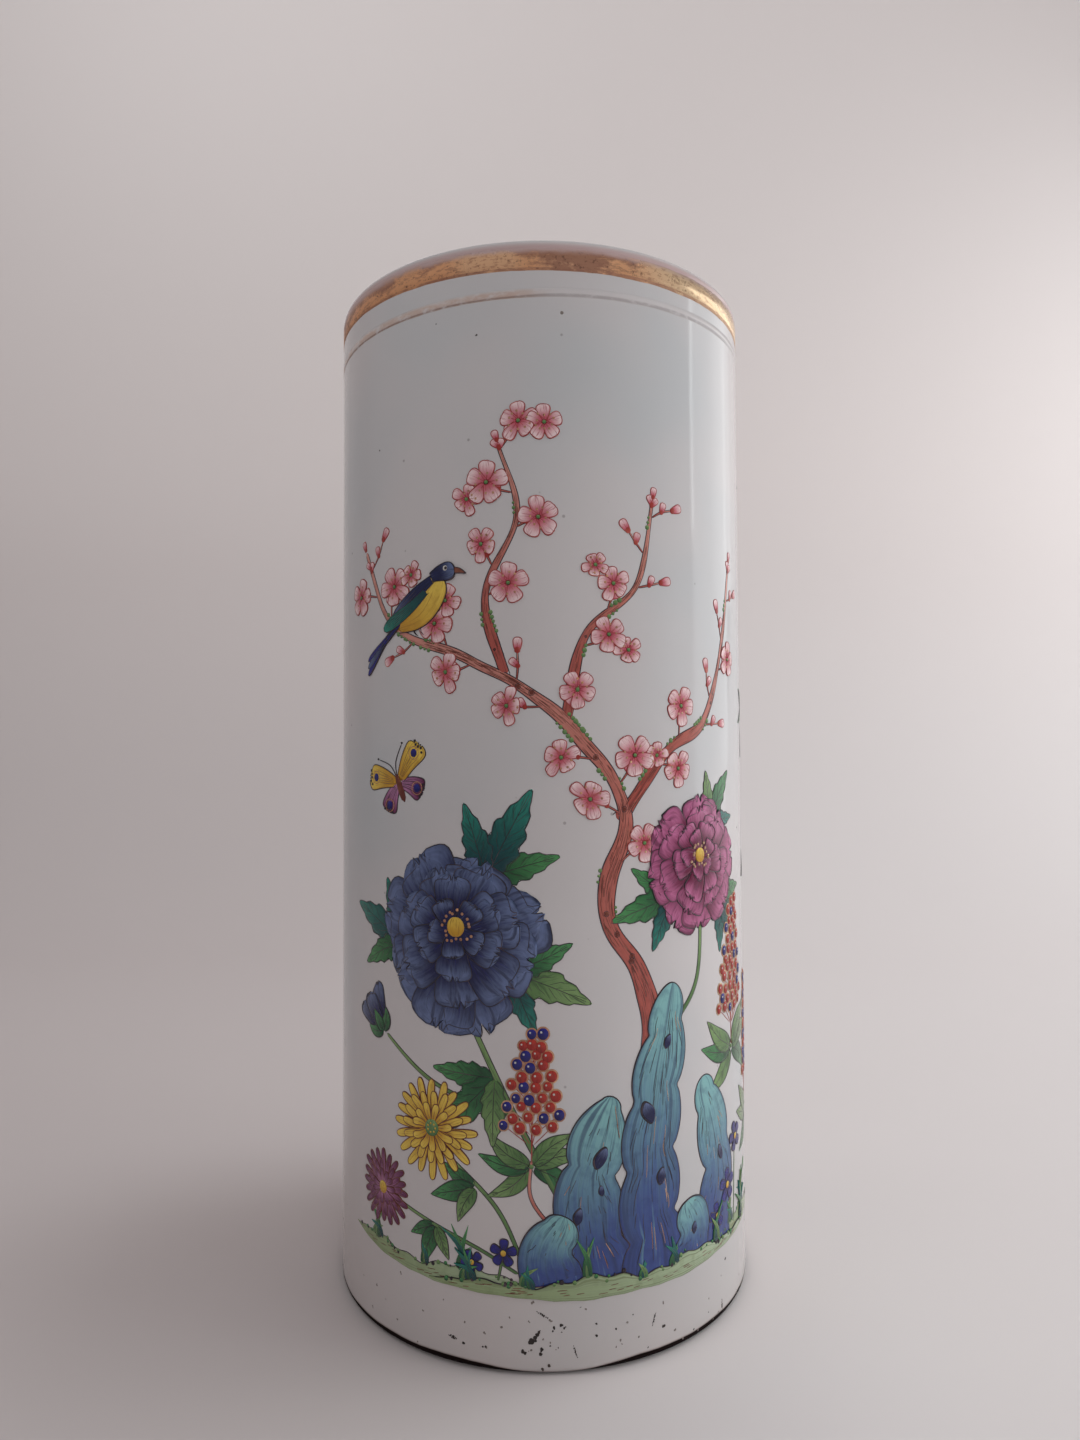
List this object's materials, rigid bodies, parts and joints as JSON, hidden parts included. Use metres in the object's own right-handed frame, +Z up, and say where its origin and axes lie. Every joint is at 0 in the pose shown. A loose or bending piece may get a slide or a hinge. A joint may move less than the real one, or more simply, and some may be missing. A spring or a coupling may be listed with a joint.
{
  "type": "cylindrical vase",
  "caption": "Tall straight-sided glazed porcelain vase, open at the top, with a rounded lip, gilt rim lines and a recessed foot.",
  "frame": {"origin": "centre of the circle that the vase stands on", "axes": "+Z up along the vase's axis, towards the mouth; -Y is the side that the picture shows"},
  "size_m": [0.1206, 0.1206, 0.28],
  "materials": {
    "porcelain_glaze": "clear glossy glaze over greyish white porcelain",
    "bare_porcelain": "unglazed, fine and matt",
    "gilding": "worn overglaze gilding"
  },
  "bodies": {
    "root": {"vase_wall": "porcelain_glaze", "floor_slab": "bare_porcelain", "gilt_band": "gilding", "gilt_fine_line": "gilding"}
  },
  "joints": []
}
